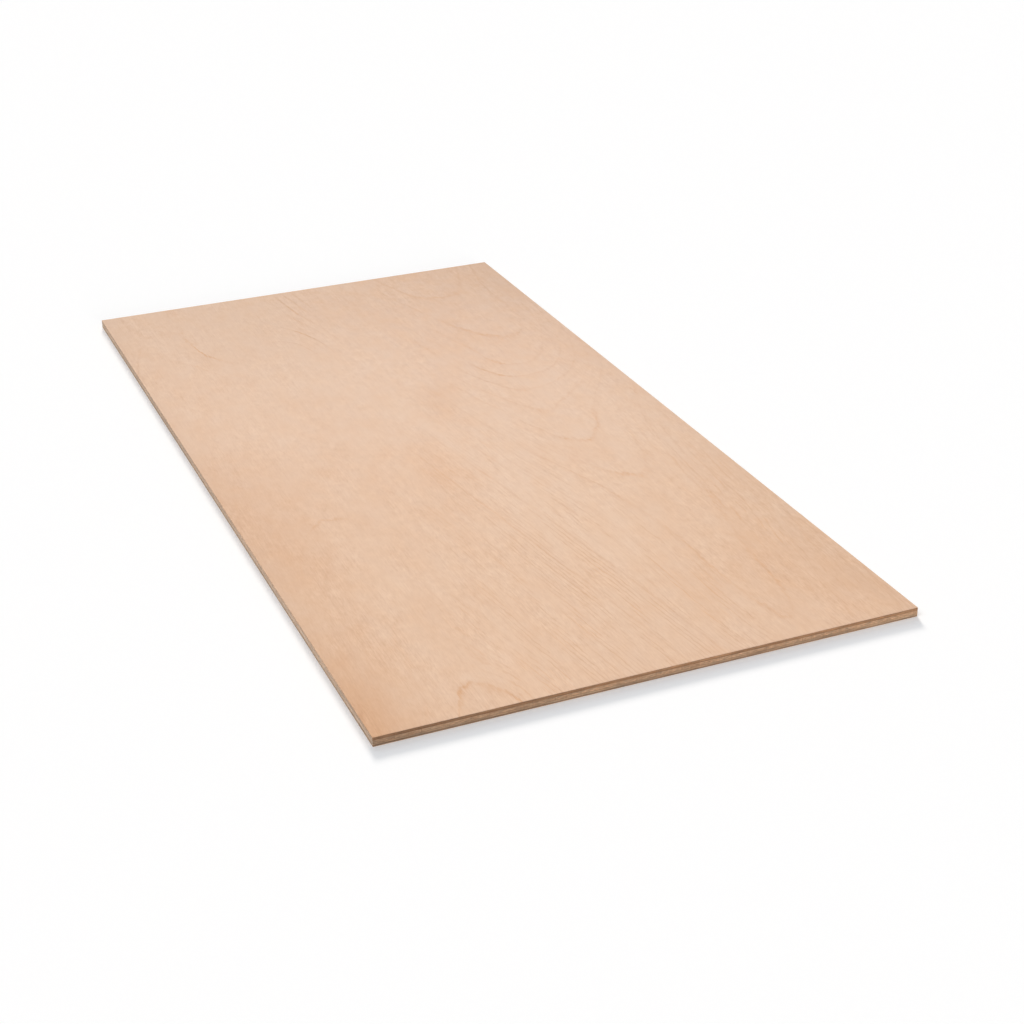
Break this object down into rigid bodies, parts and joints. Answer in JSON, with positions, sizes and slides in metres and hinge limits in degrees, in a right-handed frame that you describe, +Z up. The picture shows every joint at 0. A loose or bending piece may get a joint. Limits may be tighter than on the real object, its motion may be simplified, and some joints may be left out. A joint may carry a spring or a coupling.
{
  "type": "plywood sheet",
  "caption": "Flat rectangular plywood sheet for building and joinery, with thin pale face veneers and square sawn edges that show the darker plies inside.",
  "frame": {"origin": "centre of the underside, on the surface that the sheet lies on", "axes": "+X along the sheet's length and the face grain, +Y across its width, +Z up through its thickness to the top face"},
  "size_m": [1.22, 0.61, 0.011],
  "materials": {
    "face_veneer_wood": "sanded, unfinished pale birch-like veneer",
    "crossband_wood": "raw sawn edge of a darker hardwood veneer",
    "core_wood": "raw sawn edge of a mid-brown hardwood veneer"
  },
  "bodies": {
    "root": {"face_veneer": "face_veneer_wood", "upper_crossband": "crossband_wood", "core_ply": "core_wood", "lower_crossband": "crossband_wood", "back_veneer": "face_veneer_wood"}
  },
  "joints": []
}
